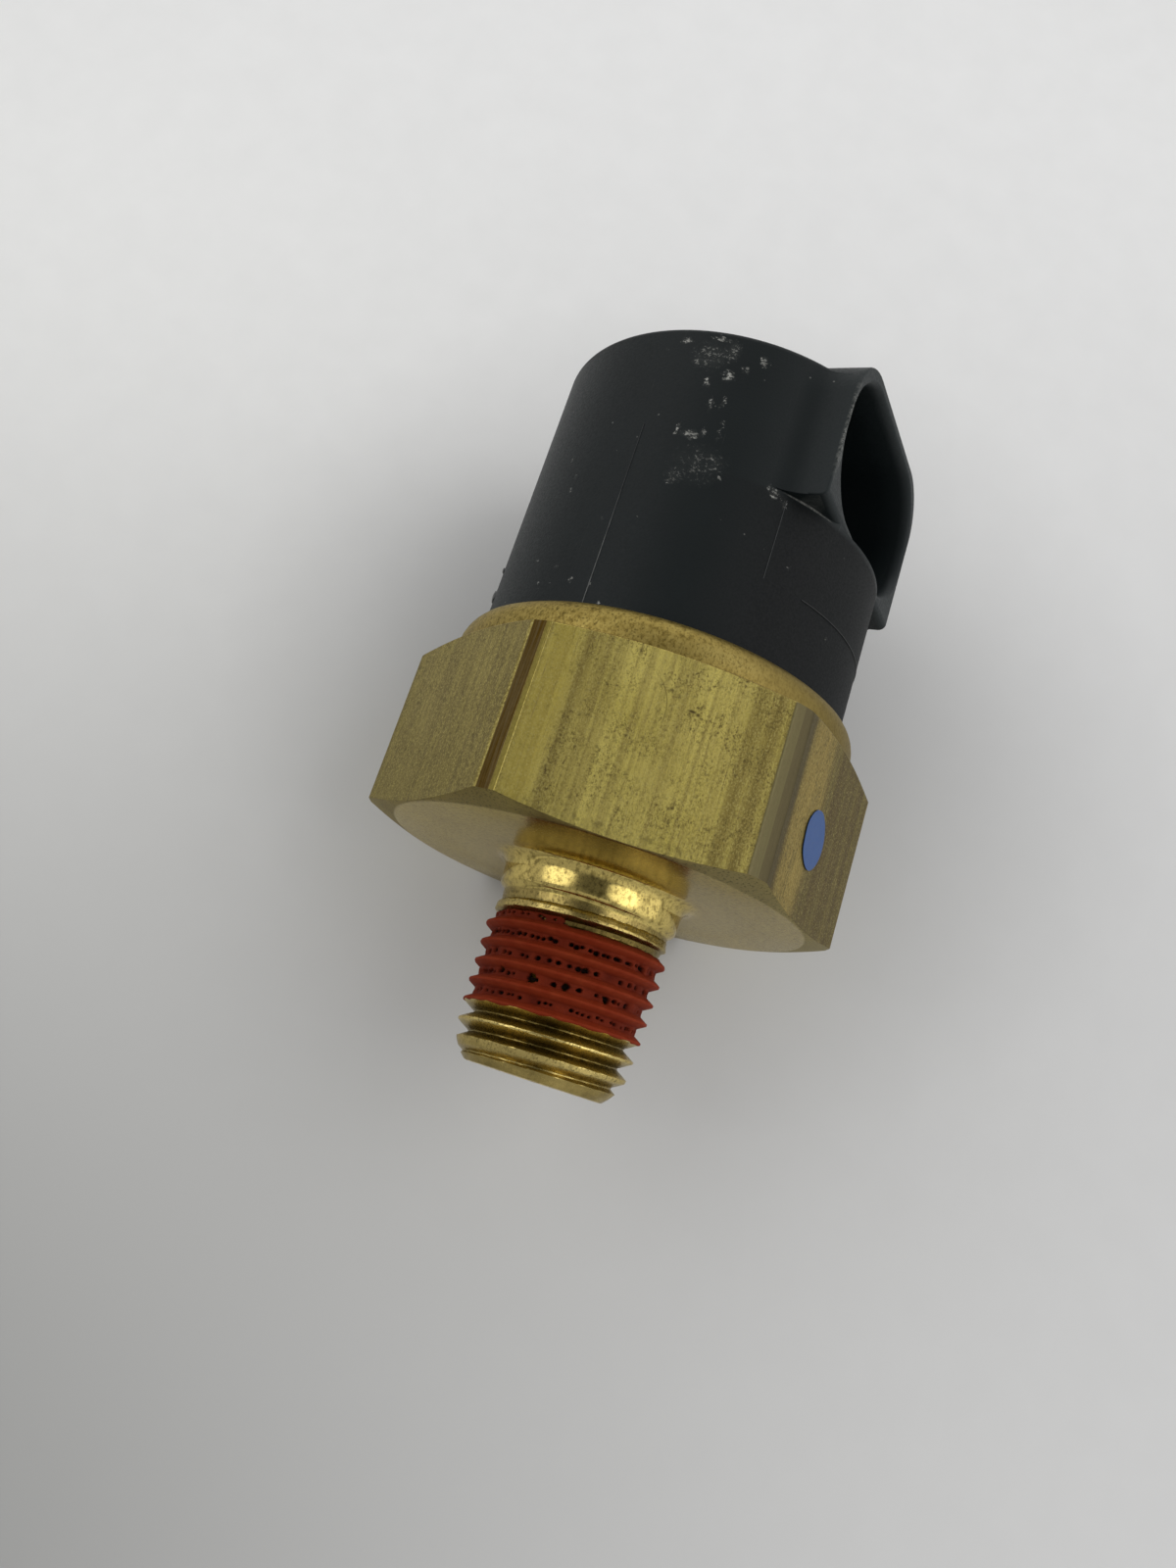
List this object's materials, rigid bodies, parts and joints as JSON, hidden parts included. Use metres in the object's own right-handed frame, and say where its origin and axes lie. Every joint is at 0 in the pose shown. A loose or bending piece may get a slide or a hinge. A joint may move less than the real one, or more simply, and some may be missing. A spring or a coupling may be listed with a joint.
{
  "type": "pressure switch",
  "caption": "Brass hexagon pressure switch with a tapered pipe thread, a crimped black housing and a side-entry plug socket; inside, a piston on a diaphragm tips a changeover contact arm.",
  "frame": {"origin": "on the thread axis, in the plane of the hexagon's underside", "axes": "+Z along the thread axis towards the housing, +X the way the connector socket faces"},
  "size_m": [0.032, 0.0358, 0.0551],
  "materials": {
    "brass_body": "drawn and turned brass, tarnished",
    "inner_brass": "turned brass",
    "thread_sealant": "dried brick-red sealant with pits",
    "blue_paint": "paint dot",
    "black_plastic": "moulded, satin, scuffed",
    "rubber": "matte",
    "diaphragm_film": "amber film",
    "steel": "turned steel",
    "ceramic": "glazed insulator",
    "insulator": "moulded insulator",
    "tinned_brass": "tin plated",
    "contact_silver": "silver contact",
    "spring_bronze": "rolled spring strip",
    "potting_resin": "cured resin"
  },
  "bodies": {
    "switch_body": {"hex_body": "brass_body", "thread_sealant": "thread_sealant", "paint_dot": "blue_paint", "diaphragm_seal": "rubber", "diaphragm": "diaphragm_film", "piston_guide": "inner_brass", "range_spring": "steel", "spring_adjuster": "inner_brass", "spring_cage": "inner_brass", "contact_base": "insulator", "common_terminal": "tinned_brass", "nc_terminal": "tinned_brass", "no_terminal": "tinned_brass", "nc_contact": "contact_silver", "no_contact": "contact_silver", "arm_rivet": "steel", "housing": "black_plastic", "housing_seal": "rubber", "potting_plug": "potting_resin"},
    "piston_group": {"piston": "steel", "diaphragm_pad": "steel", "push_pin": "ceramic"},
    "arm_group": {"contact_arm": "spring_bronze", "arm_contact": "contact_silver"}
  },
  "joints": [
    {"name": "piston_slide", "type": "slide", "parent": "switch_body", "child": "piston_group", "axis": [0, 0, 1], "range_m": [0, 0.0004], "stiffness_N_per_m": 4000, "springref_m": -0.002, "deforming": ["range_spring", "diaphragm"]},
    {"name": "arm_hinge", "type": "hinge", "parent": "switch_body", "child": "arm_group", "pos_m": [-0.00418, 0, 0.02365], "axis": [0, -1, 0], "range_deg": [0, 5.55]}
  ],
  "couplings": [
    {"joint": "arm_hinge", "follows": "piston_slide", "rad_per_m": 239.5}
  ]
}
